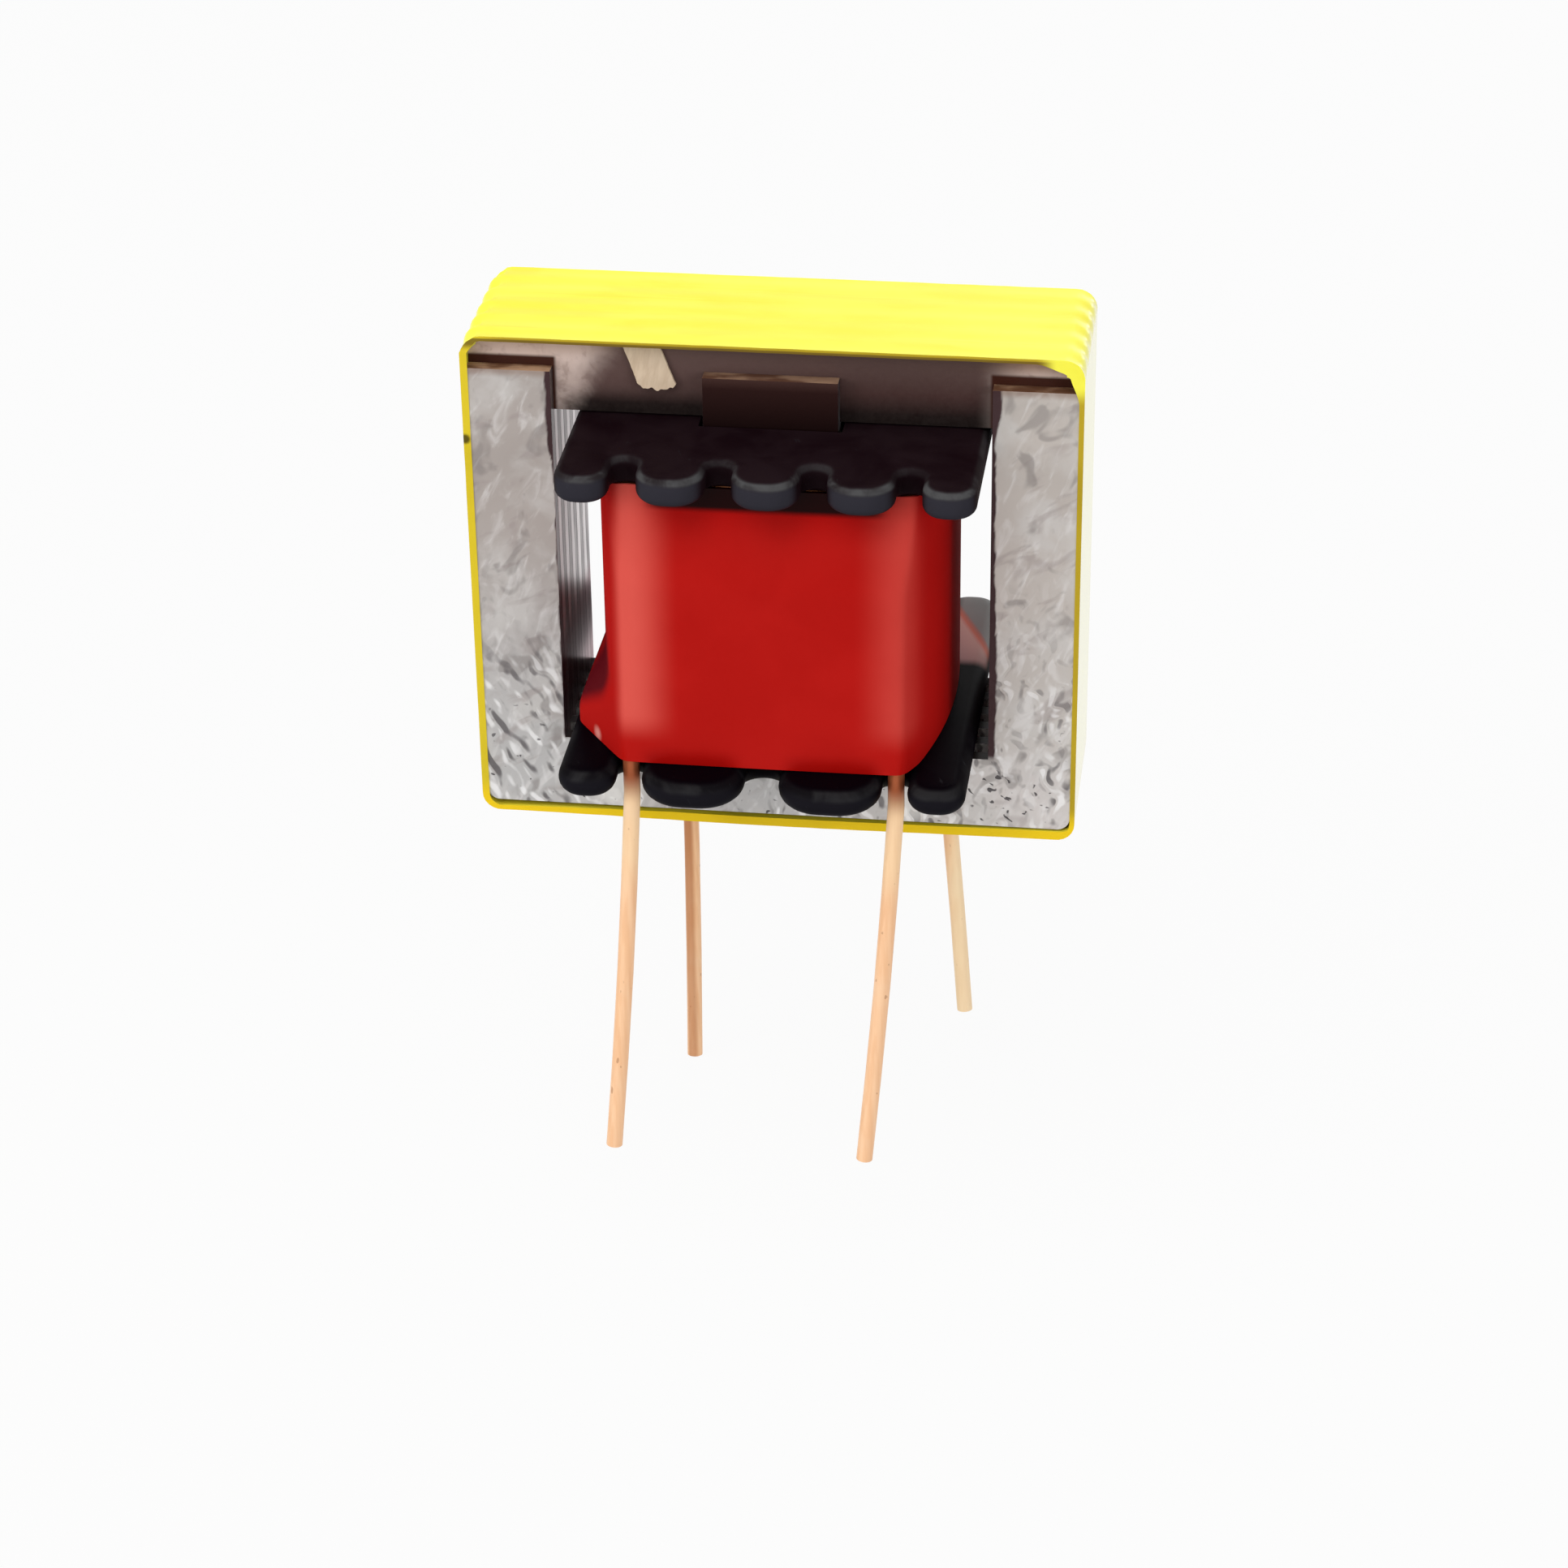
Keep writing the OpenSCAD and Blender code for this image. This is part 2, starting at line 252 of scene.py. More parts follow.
def dentReliefAndShade(place, flat, x, z):
    # dark and bright flanks of the dents, painted in shade and highlight and also used for their bump:
    # slanting on the left leg, scattered along the rest
    left = x.step(-3.6, -4.6)
    slant = flanks(place.stretch((2.9, 0.3, 1.45), (0, -26, 0)), (0.34, 0, 0.05), 0.3)
    spot = flanks(place.stretch((2.6, 0.3, 2.0), (0, 20, 0)), (0.24, 0, 0.20), 0.6)
    patch = flat.noise(0.9, 2.0, 0.5).step(0.40, 0.58)
    long = left * z.step(5.2, 3.2)
    short = (1 - left) * z.step(5.4, 1.8) + z.step(7.6, 5.4) * z.step(2.6, 4.6) * 0.25
    short = short * (0.35 + patch * 0.65)
    dark = slant.step(0.05, 0.20) * long + spot.step(0.06, 0.19) * short
    bright = slant.step(-0.05, -0.20) * long + spot.step(-0.05, -0.18) * short
    return dark, bright


def upperYokeToneAndShade(grey, flat, grain, x, z):
    # pink and brown on the yoke, darker towards the bobbin, with painted contact shadow and rust where
    # the next sheet's legs end
    look, leg = upperYoke, steel["legEdge"]
    yoke = z.step(9.9, 10.5)
    grey = (yoke * 0.88).mix(grey, look["varnish"])
    under = yoke * z.step(11.70, 12.10) * (0.45 + x.step(-2.0, 5.0) * 0.40)
    grey = under.mix(grey, look["under"])
    mottle = flat.noise(2.6, 3.0, 0.6, 0.5).step(0.48, 0.66)
    grey = (yoke * mottle * 0.42).mix(grey, look["mottle"])
    ragged = flat.noise(1.5, 3.0, 0.6, 0.4) - 0.5
    # the yoke turns dark brown, darkest towards the bobbin
    darkTone = yoke * (x - z * 0.7 + ragged * 0.7).step(-13.0, -11.6) * x.step(6.1, 4.6)
    brown = z.ramp(10.4, 12.3, look["darkTone"])
    brown = (x.step(2.5, -3.5) * 0.3 * z.step(10.7, 11.2)).mix(brown, look["darkToneLeft"])
    grey = (darkTone * (0.975 + grain * 0.025)).mix(grey, brown)
    # painted contact shadow, with rust, just above the next sheet's leg tips
    rustAndContactShadow = z.step(11.84, 11.74) * abs(x).step(leg - 0.12, leg - 0.02)
    return (rustAndContactShadow * 0.99).mix(grey, look["rustAndContactShadow"]), darkTone + rustAndContactShadow


def lowerTipToneAndShade(grey, place, feather, x, z):
    # the tongue's tip is dark brown, the leg tips are brown, the inner edges carry a painted shadow
    # and the foot has a painted sheen beside the front leads
    look, leg, tip, tongue = lowerTips, steel["legEdge"], steel["tip"], steel["tongue"]
    darkTone = abs(x).step(tongue + 0.15, tongue + 0.05) * z.step(9.5, 10.0)
    grey = (z.step(tip - 0.22, tip - 0.02) * 0.6).mix(grey, look["leg"])
    grey = darkTone.mix(grey, z.ramp(10.3, tip, look["tongue"]))
    # painted sheen on the foot beside each front lead
    for spot in look["footSheenAt"]:
        grey = (place.away(spot).step(0.75, 0.25) * 0.55).mix(grey, look["footSheen"])
    right = x.step(-0.1, 0.1)
    wide = (1 - right) * (0.01 + z.step(9.0, 9.9) * 0.12)
    wide = wide + right * (0.09 + z.step(10.2, 11.2) * 0.13)
    wide = wide + right * z.step(8.0, 4.5) * 0.08
    wide = wide + (feather - 0.5) * 0.16
    # painted shadow along the legs' inner edges
    edgeShadow = (abs(x) - leg - wide).step(0.035, -0.035) * abs(x).step(leg - 0.2, leg - 0.1)
    edgeShadow = edgeShadow * z.step(2.0, 2.2)
    return (edgeShadow * 0.98).mix(grey, look["edgeShadow"]), darkTone + edgeShadow


def steelEdges(kind, place, end, x, z):
    # the cut edges run in fine lines, and the ends of legs and tongues are sheared brown
    edge = place.stretch((9.0, 22.0, 0.7)).noise(1.0, 3.0, 0.6).step(0.38, 0.62).mix(*steel[kind])
    # painted shade and dark reflection low on the cut edges
    edge = (z.step(5.0, 4.2) * 0.85).mix(edge, steel["lowEdgeShade"])
    sheared = place.stretch((1.0, 2.0, 2.0)).noise(0.9, 3.0, 0.5).step(0.40, 0.66)
    sheared = sheared.mix(*steel["sheared"])
    sheared = (abs(x).step(2.0, 1.7) * 0.35).mix(sheared, steel["tongueEnd"])
    sheared = (z.step(3.2, 2.8) * 0.97).mix(sheared, steel["lowEnd"])
    return end.mix(edge, sheared)


def steelFinish(kind):
    material, place, normal = newFinish(kind + "SheetSteel")
    x, _, z = place.split()
    _, ny, nz = normal.split()
    face, end = abs(ny).step(0.4, 0.8), abs(nz).step(0.5, 0.8)
    flat = place.stretch((1.0, 0.2, 1.0))
    cloud = flat.noise(0.7, 4.0, 0.55, 0.4)
    feather = place.stretch((2.6, 0.3, 0.8), (0, 24, 0)).noise(1.3, 3.0, 0.5, 0.8)
    smear = place.stretch((0.8, 0.3, 2.2), (0, -30, 0)).noise(1.0, 3.0, 0.5, 0.6)
    smudge = place.stretch((1.6, 0.3, 1.2), (0, 35, 0)).noise(1.0, 2.0, 0.5, 0.8)
    grain = flat.noise(8.0, 4.0, 0.6)

    grey = z.step(8.5, 1.5).mix(steel["upper"], steel["foot"])
    right = x.step(3.0, 5.0)
    grey = (right * 0.7).mix(grey, steel["right"])
    grey = (z.step(3.0, 1.5) * right * 0.35).mix(grey, steel["rightFoot"])
    grey = (cloud.step(0.44, 0.66) * 0.65).mix(grey, steel["cloud"])
    grey = (feather.step(0.50, 0.74) * 0.50).mix(grey, steel["feather"])
    grey = (smear.step(0.55, 0.70) * 0.48).mix(grey, steel["smear"])
    grey = (smudge.step(0.56, 0.70) * 0.55).mix(grey, steel["smudge"])
    dark, bright = dentReliefAndShade(place, flat, x, z)
    # painted shade and painted highlight on the dents' flanks
    grey = (dark * 0.84).mix(grey, steel["dentShade"])
    grey = (bright * 0.70).mix(grey, steel["dentHighlight"])
    # pitted, most of all at the right foot
    pits = place.away(steel["pitsAt"]).step(1.3, 0.3) * 0.10
    specks = place.stretch((1.0, 0.2, 1.4), (0, 30, 0)).noise(4.6, 1.0, 0.5, 0.4)
    specks = specks.step(0.70 - pits, 0.77 - pits) * z.step(4.4, 1.2)
    grey = (specks * 0.85).mix(grey, steel["pit"])
    if kind == "even":
        grey, dull = upperYokeToneAndShade(grey, flat, grain, x, z)
    else:
        grey, dull = lowerTipToneAndShade(grey, place, feather, x, z)

    rough = 0.30 + face * (0.14 + cloud * 0.16 + dark * 0.08)
    metal = face * (0.62 - dull * 0.6) + (1 - face) * (1 - end) * 0.9
    height = cloud * 0.35 + feather * 0.30 + grain * 0.10 - dark * 0.9 + bright * 0.4 - specks * 0.5
    return dress(material, color=face.mix(steelEdges(kind, place, end, x, z), grey), roughness=rough,
                 metallic=metal, specular=0.05, normal=(height * face).bump(0.45, 0.045))


# black moulding, with painted light on the colder grey lobe fronts and painted highlights on the rims
black = {
    "upper": ((0.0062, 0.0021, 0.0034), (0.0115, 0.0056, 0.0074)),      # dark and light
    # painted shade for the lower flange
    "lower": (0.0012, 0.0005, 0.0016),
    # painted light for the lobe fronts and a painted highlight for the rims; the scuffs are real
    "front": (0.0285, 0.0275, 0.0360), "rimHighlight": (0.062, 0.062, 0.064), "scuff": (0.040, 0.043, 0.050),
    "varnish": [(0.0, (0.78, 0.52, 0.51)), (0.43, (0.82, 0.52, 0.47)), (0.52, (0.74, 0.24, 0.18)),
                (0.58, (0.56, 0.22, 0.18)), (0.64, (0.31, 0.305, 0.30)), (1.0, (0.25, 0.255, 0.25))],
}


def bobbinFinish():
    material, place, normal = newFinish("blackMoulding")
    x, y, z = place.split()
    _, ny, nz = normal.split()
    upper = z.step(5.0, 7.0)
    cloud = place.noise(0.8, 4.0, 0.55, 0.5)
    grain = place.noise(14.0, 2.0, 0.5)
    # painted shade: the lower flange is much darker than the upper one
    tone = upper.mix(black["lower"], cloud.step(0.3, 0.7).mix(*black["upper"]))
    # painted light: the fronts are a colder grey than the notches between them
    lobes = abs(y).step(4.30, 4.70)
    front = lobes * nz.step(0.75, 0.05) * abs(ny).step(0.25, 0.75)
    tone = (front * (0.28 + upper * 0.66)).mix(tone, black["front"])
    # painted highlight along the rounded rims, strongest on the upper flange
    rimHighlight = nz.step(0.15, 0.50) * nz.step(0.99, 0.80) * (0.3 + lobes * 0.7) * (0.25 + upper * 0.75)
    tone = (rimHighlight * (0.20 + cloud.step(0.44, 0.62) * 0.80)).mix(tone, black["rimHighlight"])
    scuff = place.stretch((5.0, 1.0, 3.0), (12, 0, 25)).noise(1.2, 4.0, 0.6).step(0.66, 0.76)
    tone = (scuff * 0.25).mix(tone, black["scuff"])
    # a pale pink and orange patch along the right end of the lower flange, behind the coil
    smear = (1 - upper) * nz.step(0.3, 0.8) * x.step(3.6, 3.9) * y.step(1.15, 1.6)
    tone = (smear * 0.95).mix(tone, (y + x * 2.25).ramp(10.7, 14.2, black["varnish"]))
    return dress(material, color=tone, roughness=0.42 + cloud * 0.12 + grain * 0.06, specular=0.015,
                 normal=(grain * 0.6 + cloud * 0.4).bump(0.10, 0.02))


# red film: paler over the leads with painted highlights, deeper elsewhere with painted shade
red = {
    "base": ((0.410, 0.0055, 0.0036), (0.440, 0.0072, 0.0050)),         # dark and light
    # painted highlight for the ridges; painted shade near the top and at the upper edge
    "ridgeHighlight": (0.665, 0.086, 0.066), "top": (0.350, 0.0010, 0.0006), "flangeShadow": (0.003, 0.0001, 0.0002),
    # painted shade above the lobes, round the sides and in the flare's crease
    "lobeShade": (0.24, 0.0006, 0.0005), "side": (0.39, 0.0004, 0.0003), "flareShade": (0.045, 0.0004, 0.0040),
    # painted highlight on the flare's lip
    "lip": (0.90, 0.46, 0.40), "lipAt": (-3.90, -3.28, 2.98),           # mm
}


def redTapeFinish():
    material, place, normal = newFinish("redFilmTape")
    x, y, z = place.split()
    nx, _, _ = normal.split()
    cloud = place.noise(0.5, 3.0, 0.5, 0.3)
    tone = cloud.step(0.3, 0.7).mix(*red["base"])
    # painted highlight over the leads, more on the left
    front = abs(y).step(2.9, 3.5)
    left = (x * y).step(-4.0, 6.0)
    across = abs(x) - (1 - left) * 0.24
    # painted highlight along the ridges over the leads
    ridgeHighlight = across.step(1.85, 3.05) * across.step(3.52, 3.14) * front * z.step(3.3, 4.1)
    tone = (ridgeHighlight * (0.48 + left * 0.52) * (0.78 + cloud * 0.4)).mix(tone, red["ridgeHighlight"])
    # painted shade: deeper near the top under the flange, at the upper edge, over the lobes and round the
    # sides
    # painted shade under the upper flange
    flat = z.step(8.3, 9.6) * (1 - ridgeHighlight)
    tone = (flat * 0.9).mix(tone, red["top"])
    # painted shadow at the upper edge, where the flange overhangs
    tone = (z.step(9.10, 9.28) * across.step(2.75, 2.25) * 0.98).mix(tone, red["flangeShadow"])
    # painted shade and reflection of the lobes just above them
    lobeShade = z.step(3.35, 2.90) * abs(x).step(0.35, 0.95) * abs(x).step(2.95, 2.45)
    tone = (lobeShade * 0.55).mix(tone, red["lobeShade"])
    # painted shade round the sides, which are also rougher
    side = abs(nx).step(0.4, 0.9)
    tone = (side * 0.4).mix(tone, red["side"])
    # painted shade darkens the flare along its crease, and a painted highlight marks its lip
    # painted shade in the flare's crease
    flareShade = x.step(-3.40, -3.85) * y.step(-4.0, -3.3) * y.step(-0.9, -2.2)
    flareShade = flareShade * (z + y * 0.72).step(1.25, 1.85) * z.step(6.6, 4.4)
    tone = (flareShade * 0.9).mix(tone, red["flareShade"])
    # painted highlight on the flare's lip
    tone = (place.away(red["lipAt"]).step(0.28, 0.08) * 0.65).mix(tone, red["lip"])
    creases = place.stretch((1.2, 1.2, 0.12)).noise(1.4, 2.0, 0.5, 0.2)
    return dress(material, color=tone, roughness=0.26 + cloud * 0.08 + side * 0.55, specular=0.06,
                 normal=(creases * 0.6 + cloud * 0.4).bump(0.06, 0.08))


# yellow film: streaked along its winding, golden below, with painted shade on its cut edge
yellow = {
    "base": ((0.90, 0.83, 0.058), (0.935, 0.90, 0.090)),                # dark and light
    "streak": (0.74, 0.60, 0.030), "low": (0.86, 0.60, 0.005),
    # painted shade on the cut edge
    "cut": ((0.46, 0.315, 0.015), (0.70, 0.53, 0.020)),                 # to the right and on the left
    "lowCut": (0.88, 0.60, 0.010), "topCut": (0.10, 0.055, 0.012),
    "lipAt": (7.0, -2.05, 12.27), "nickAt": (-7.08, -2.03, 9.80),       # mm
    "nick": (0.045, 0.032, 0.004),
}


def yellowTapeFinish():
    material, place, normal = newFinish("yellowFilmTape")
    x, _, z = place.split()
    nx, ny, _ = normal.split()
    cloud = place.stretch((0.35, 1.0, 1.0)).noise(0.8, 4.0, 0.55, 0.5)
    tone = cloud.step(0.35, 0.65).mix(*yellow["base"])
    lines = place.stretch((0.10, 3.0, 0.10)).noise(1.0, 3.0, 0.6).step(0.58, 0.72)
    streaks = lines * (x.step(-1.0, -6.8) * 0.4 + abs(nx).step(0.5, 0.9) * 0.35)
    tone = streaks.mix(tone, yellow["streak"])
    tone = (z.step(1.6, 0.1) * 0.45).mix(tone, yellow["low"])
    # the cut edge is painted in shade, golden below, brown against the top of the core and hidden by the
    # lip
    cut = abs(ny).step(0.6, 0.9) * place.away(yellow["lipAt"]).step(0.5, 1.0)
    dull = x.step(-6.0, -6.8).mix(*yellow["cut"])
    dull = z.step(0.9, 0.3).mix(dull, yellow["lowCut"])
    tone = (cut * 0.95).mix(tone, dull)
    tone = (cut * z.step(12.0, 12.2) * z.step(12.35, 12.31) * 0.8).mix(tone, yellow["topCut"])
    tone = (place.away(yellow["nickAt"]).step(0.17, 0.07) * 0.9).mix(tone, yellow["nick"])
    glaze = abs(nx).step(0.6, 0.95)                 # drawn tighter over the sides, so glossier
    return dress(material, color=tone, roughness=0.34 + cloud * 0.14, specular=0.12, coat=glaze,
                 normal=(lines * 0.5 + cloud * 0.5).bump(0.10, 0.05))


# bare copper, a little clouded
copper = {
    "drawn": ((0.90, 0.53, 0.30), (0.96, 0.61, 0.37)),                  # dark and light
    # painted light for the leads' upper part
    "cloud": (0.97, 0.72, 0.50), "upper": (0.99, 0.76, 0.46), "nick": (0.34, 0.13, 0.06),
    # painted shade where the leads leave the coil
    "top": (0.40, 0.085, 0.026), "streak": (0.44, 0.155, 0.055), "pale": (0.98, 0.83, 0.55),
    "rearLean": 0.0189,             # the rear left lead's shift in x with height
}


def copperFinish():
    material, place, _ = newFinish("bareCopper")
    x, y, z = place.split()
    draw = place.stretch((9.0, 9.0, 0.10)).noise(1.0, 2.0, 0.5)
    cloud = place.noise(0.8, 3.0, 0.5)
    tone = draw.step(0.3, 0.7).mix(*copper["drawn"])
    tone = (cloud.step(0.52, 0.75) * 0.4).mix(tone, copper["cloud"])
    # painted light: paler near the top, where the flange shades the leads
    tone = (z.step(-0.9, 0.5) * 0.45).mix(tone, copper["upper"])
    nicks = place.stretch((3.0, 3.0, 1.6)).noise(2.2, 1.0, 0.5).step(0.72, 0.77)
    tone = (nicks * 0.5).mix(tone, copper["nick"])
    # painted shade: browner where it leaves the coil, in its notch; browner along the rear left lead,
    # paler on the rear right one
    tone = (z.step(1.60, 2.45) * 0.95).mix(tone, copper["top"])
    rear = y.step(0.5, 1.0)
    off = x + z * copper["rearLean"]
    streak = off.step(-2.90, -3.03) * off.step(-3.25, -3.16) * rear
    tone = (streak * (0.60 + z.step(-8.0, 0.0) * 0.35)).mix(tone, copper["streak"])
    tone = (x.step(3.45, 3.95) * rear * 0.6).mix(tone, copper["pale"])
    return dress(material, color=tone, roughness=0.32 + draw * 0.10, metallic=0.35, specular=0.12,
                 normal=draw.bump(0.06, 0.02))


# cream insulation, fibrous and darker at its torn end
cream = {"fibre": ((0.565, 0.43, 0.305), (0.68, 0.54, 0.40)), "torn": (0.42, 0.32, 0.23)}


def creamFinish():
    material, place, _ = newFinish("creamFilm")
    _, _, z = place.split()
    fibre = place.stretch((5.0, 2.0, 1.0), (0, 12, 0)).noise(1.4, 4.0, 0.6, 0.4)
    tone = fibre.step(0.3, 0.7).mix(*cream["fibre"])
    tone = (z.step(11.60, 11.25) * 0.30).mix(tone, cream["torn"])
    return dress(material, color=tone, roughness=0.62, specular=0.2, normal=fibre.bump(0.20, 0.03))


# the hidden layers: enamelled wire and amber film, dark and light
inside = {
    "enamel": ((0.42, 0.13, 0.045), (0.60, 0.23, 0.085)),
    "film": ((0.58, 0.40, 0.13), (0.72, 0.54, 0.22)),
}


def enamelFinish():
    material, place, _ = newFinish("enamelledWire")
    cloud = place.noise(1.4, 3.0)
    tone = cloud.step(0.35, 0.65).mix(*inside["enamel"])
    return dress(material, color=tone, roughness=0.25 + cloud * 0.1, metallic=0.7, coat=0.3,
                 normal=place.noise(9.0, 2.0).bump(0.05, 0.01))


def filmFinish():
    material, place, _ = newFinish("amberFilm")
    cloud = place.stretch((1.0, 1.0, 0.3)).noise(1.1, 3.0)
    tone = cloud.step(0.35, 0.65).mix(*inside["film"])
    return dress(material, color=tone, roughness=0.3 + cloud * 0.1, normal=cloud.bump(0.08, 0.05))


finishes = {
    "sheetOdd": steelFinish("odd"),
    "sheetEven": steelFinish("even"),
    "bobbin": bobbinFinish(),
    "redTape": redTapeFinish(),
    "yellowTape": yellowTapeFinish(),
    "copper": copperFinish(),
    "cream": creamFinish(),
    "enamel": enamelFinish(),
    "film": filmFinish(),
}
print("finishes made:", len(finishes))


def addPiece(name, vertices, faces, material, node):
    mesh = bpy.data.meshes.new(name)
    mesh.from_pydata([tuple(v) for v in vertices], [], faces)
    return finishMesh(name, mesh, material, node)


def finishMesh(name, mesh, material, node):
    # gives a mesh its finish and sets it in place of a node
    mesh.materials.clear()
    mesh.materials.append(material)
    mesh.polygons.foreach_set("use_smooth", [True] * len(mesh.polygons))
    mesh.update()
    piece = bpy.data.objects.new(name, mesh)
    bpy.context.collection.objects.link(piece)
    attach(piece, "root")
    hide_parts(node)
    return piece


def wallFrom(outer, inner, closed):
    # a thin wall between two grids of points [row][column]; the columns meet again if closed
    rows, columns = outer.shape[:2]
    count = rows * columns
    points = np.concatenate([outer.reshape(-1, 3), inner.reshape(-1, 3)])
    spans = columns if closed else columns - 1
    faces = []
    for r in range(rows - 1):
        for c in range(spans):
            d = (c + 1) % columns
            a, b, e, f = r * columns + c, r * columns + d, (r + 1) * columns + d, (r + 1) * columns + c
            faces.append((a, b, e, f))
            faces.append((count + a, count + f, count + e, count + b))
    for c in range(spans):
        d = (c + 1) % columns
        low, high = c, (rows - 1) * columns + c
        lowNext, highNext = d, (rows - 1) * columns + d
        faces.append((low, count + low, count + lowNext, lowNext))
        faces.append((high, highNext, count + highNext, count + high))
    if not closed:
        for r in range(rows - 1):
            a, f = r * columns, (r + 1) * columns
            b, e = a + columns - 1, f + columns - 1
            faces.append((a, f, count + f, count + a))
            faces.append((b, count + b, count + e, e))
    return points, faces


def outwards(mesh, sharp):
    # merges doubles, turns a closed shell's faces outwards, and marks the edges that stay crisp
    work = bmesh.new()
    work.from_mesh(mesh)
    bmesh.ops.remove_doubles(work, verts=work.verts, dist=sameSpot)
    bmesh.ops.recalc_face_normals(work, faces=work.faces)
    work.to_mesh(mesh)
    work.free()
    mesh.set_sharp_from_angle(angle=math.radians(sharp))


def smoothRows(values, times, closed):
    # averages each column with its neighbours, a few times
    for _ in range(times):
        if closed:
            values = (np.roll(values, 1, -1) + 2 * values + np.roll(values, -1, -1)) / 4
        else:
            padded = np.concatenate([values[..., :1], values, values[..., -1:]], -1)
            values = (padded[..., :-2] + 2 * padded[..., 1:-1] + padded[..., 2:]) / 4
    return values


# the sheets stay as they are, with eased edges
sheets = {"count": 11, "ease": 0.03, "segments": 2, "sharp": 40}      # count, mm, count, degrees


def dressSheets():
    for index in range(1, sheets["count"] + 1):
        sheet = frame["nodes"]["lamination_%02d" % index]
        sheet.data.materials.clear()
        sheet.data.materials.append(finishes["sheetOdd" if index % 2 else "sheetEven"])
        weld = sheet.modifiers.new("weld", "WELD")
        weld.merge_threshold = weldGap
        ease = sheet.modifiers.new("ease", "BEVEL")
        ease.width, ease.segments = sheets["ease"] * mm, sheets["segments"]
        ease.limit_method, ease.angle_limit = "ANGLE", math.radians(sheets["sharp"])


def dressFilm():
    # the film between the windings keeps its shape too
    film = frame["nodes"]["interlayer_tape"]
    film.data.materials.clear()
    film.data.materials.append(finishes["film"])


dressSheets()
dressFilm()
print("sheets dressed")


# the bobbin's flanges have softly rounded rims
moulding = {
    "topRound": 0.22, "lowRound": 0.33,     # mm
    "segments": 5,
    "flat": 1, "sharp": 35,                 # degrees
}


def makeBobbin():
    work = bmesh.new()
    work.from_mesh(frame["nodes"]["bobbin"].data)
    bmesh.ops.remove_doubles(work, verts=work.verts, dist=weldGap)
    flat, sharp = math.radians(moulding["flat"]), math.radians(moulding["sharp"])
    bmesh.ops.dissolve_limit(work, angle_limit=flat, verts=work.verts, edges=work.edges)
    low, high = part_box("bobbin")
    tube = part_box("inner_winding")[1]

    def rims(upper):
        # the level convex edges of one flange
        for edge in work.edges:
            a, b = (v.co for v in edge.verts)
            outside = max(abs(a.x), abs(b.x)) > tube.x or max(abs(a.y), abs(b.y)) > tube.y
            level = abs(a.z - b.z) < weldGap and (a.z > (low.z + high.z) / 2) == upper
            if level and outside and edge.is_convex and edge.calc_face_angle() > sharp:
                yield edge

    def rank(face):
        # a face's place in a fixed order, from its three lowest points
        a, b, c = sorted(v.index for v in face.verts)[:3]
        return (a * len(work.verts) + b) * len(work.verts) + c

    for upper, size in ((False, moulding["lowRound"]), (True, moulding["topRound"])):
        edges = list(rims(upper))
        bmesh.ops.bevel(work, geom=edges, offset=size * mm, offset_type="OFFSET",
                        segments=moulding["segments"], profile=0.5, affect="EDGES", clamp_overlap=False)
        print("  rims rounded:", len(edges), "edges")
    bmesh.ops.triangulate(work, faces=[f for f in work.faces if len(f.verts) > 4])
    work.verts.index_update()
    work.faces.sort(key=rank)       # the tools leave them in another order each run
    mesh = bpy.data.meshes.new("bobbinMoulding")
    work.to_mesh(mesh)
    work.free()
    piece = finishMesh("bobbinMoulding", mesh, finishes["bobbin"], "bobbin")
    mesh.set_sharp_from_angle(angle=sharp)
    even = piece.modifiers.new("evenShade", "WEIGHTED_NORMAL")
    even.keep_sharp = True


makeBobbin()
print("bobbin made")


# the leads are swept along their paths
wire = {
    "sides": 20,
    "bend": 0.32, "bendSteps": 8,                                   # mm, radius of a bend
    "bow": 0.05, "bowTo": (1, 0.4, 0), "bowAt": (0.25, 0.5, 0.75),  # mm, how far a lead strays
    "step": 0.15,                                                   # mm
    "wobble": 0.03, "wobbleScale": 900.0, "wobbleDetail": 2.0,      # share of the radius
    "kick": 0.2,                # mm, how far a lead swings out before its notch
    "under": 0.02,              # mm, its upper end below the top of its box
    "sharp": 60,                # degrees
}


def newTree(name, given, made):
    # an empty tree with its named inputs, and a function that adds a node to it
    tree = bpy.data.node_groups.new(name, "GeometryNodeTree")
    for label, kind in given:
        tree.interface.new_socket(label, in_out="INPUT", socket_type="NodeSocket" + kind)
    tree.interface.new_socket(made, in_out="OUTPUT", socket_type="NodeSocketGeometry")

    def add(kind, settings=None, sockets=None, out=0):
        node = tree.nodes.new(kind)
        for label, value in (settings or {}).items():
            setattr(node, label, value)
        for key, value in (sockets or {}).items():
            if isinstance(value, bpy.types.NodeSocket):
                tree.links.new(value, node.inputs[key])
            else:
                node.inputs[key].default_value = value
        return node.outputs[out] if len(node.outputs) else node

    return tree, tree.nodes.new("NodeGroupInput").outputs, add


